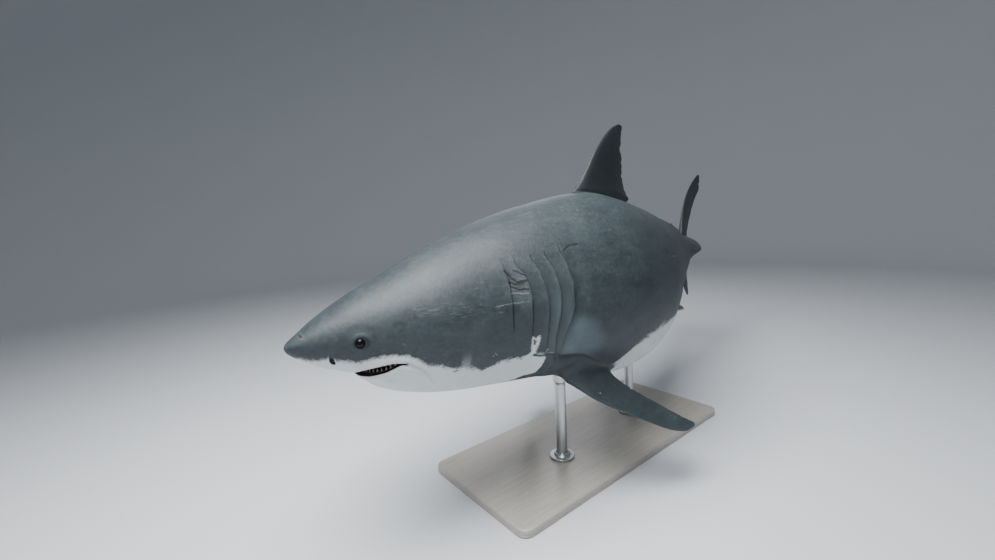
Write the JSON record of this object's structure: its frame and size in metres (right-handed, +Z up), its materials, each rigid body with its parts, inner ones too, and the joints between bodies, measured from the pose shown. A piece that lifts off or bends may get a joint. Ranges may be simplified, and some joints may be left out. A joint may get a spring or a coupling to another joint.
{
  "type": "shark",
  "caption": "Life-size still model of a large great white shark with a gently bent body and its mouth slightly open, held above the floor by rods on a flat display base.",
  "frame": {"origin": "centre of the display base's underside, on the floor and under the model's centre of mass", "axes": "+X from head to tail along the middle of the body, +Z up, -Y the animal's left side"},
  "size_m": [4.49, 1.3847, 2.0552],
  "materials": {
    "skin": "satin slate-grey skin of a cast model, white below",
    "pale_skin": "satin off-white skin of a cast model",
    "eye": "wet black",
    "rod": "brushed",
    "base": "pale limed ash under satin lacquer"
  },
  "bodies": {
    "root": {"head": "skin", "gills": "skin", "chest": "skin", "middle": "skin", "loin": "skin", "tail_root": "skin", "tail_stem": "skin", "dorsal_fin_first": "skin", "dorsal_fin_second": "skin", "pectoral_fin_left": "skin", "pectoral_fin_right": "skin", "pelvic_fin_left": "skin", "pelvic_fin_right": "skin", "anal_fin": "skin", "tail_fin_upper": "skin", "tail_fin_lower": "skin", "lower_jaw": "pale_skin", "eye_left": "eye", "eye_right": "eye", "stand_base": "base", "stand_rod_front": "rod", "stand_rod_rear": "rod"}
  },
  "joints": []
}
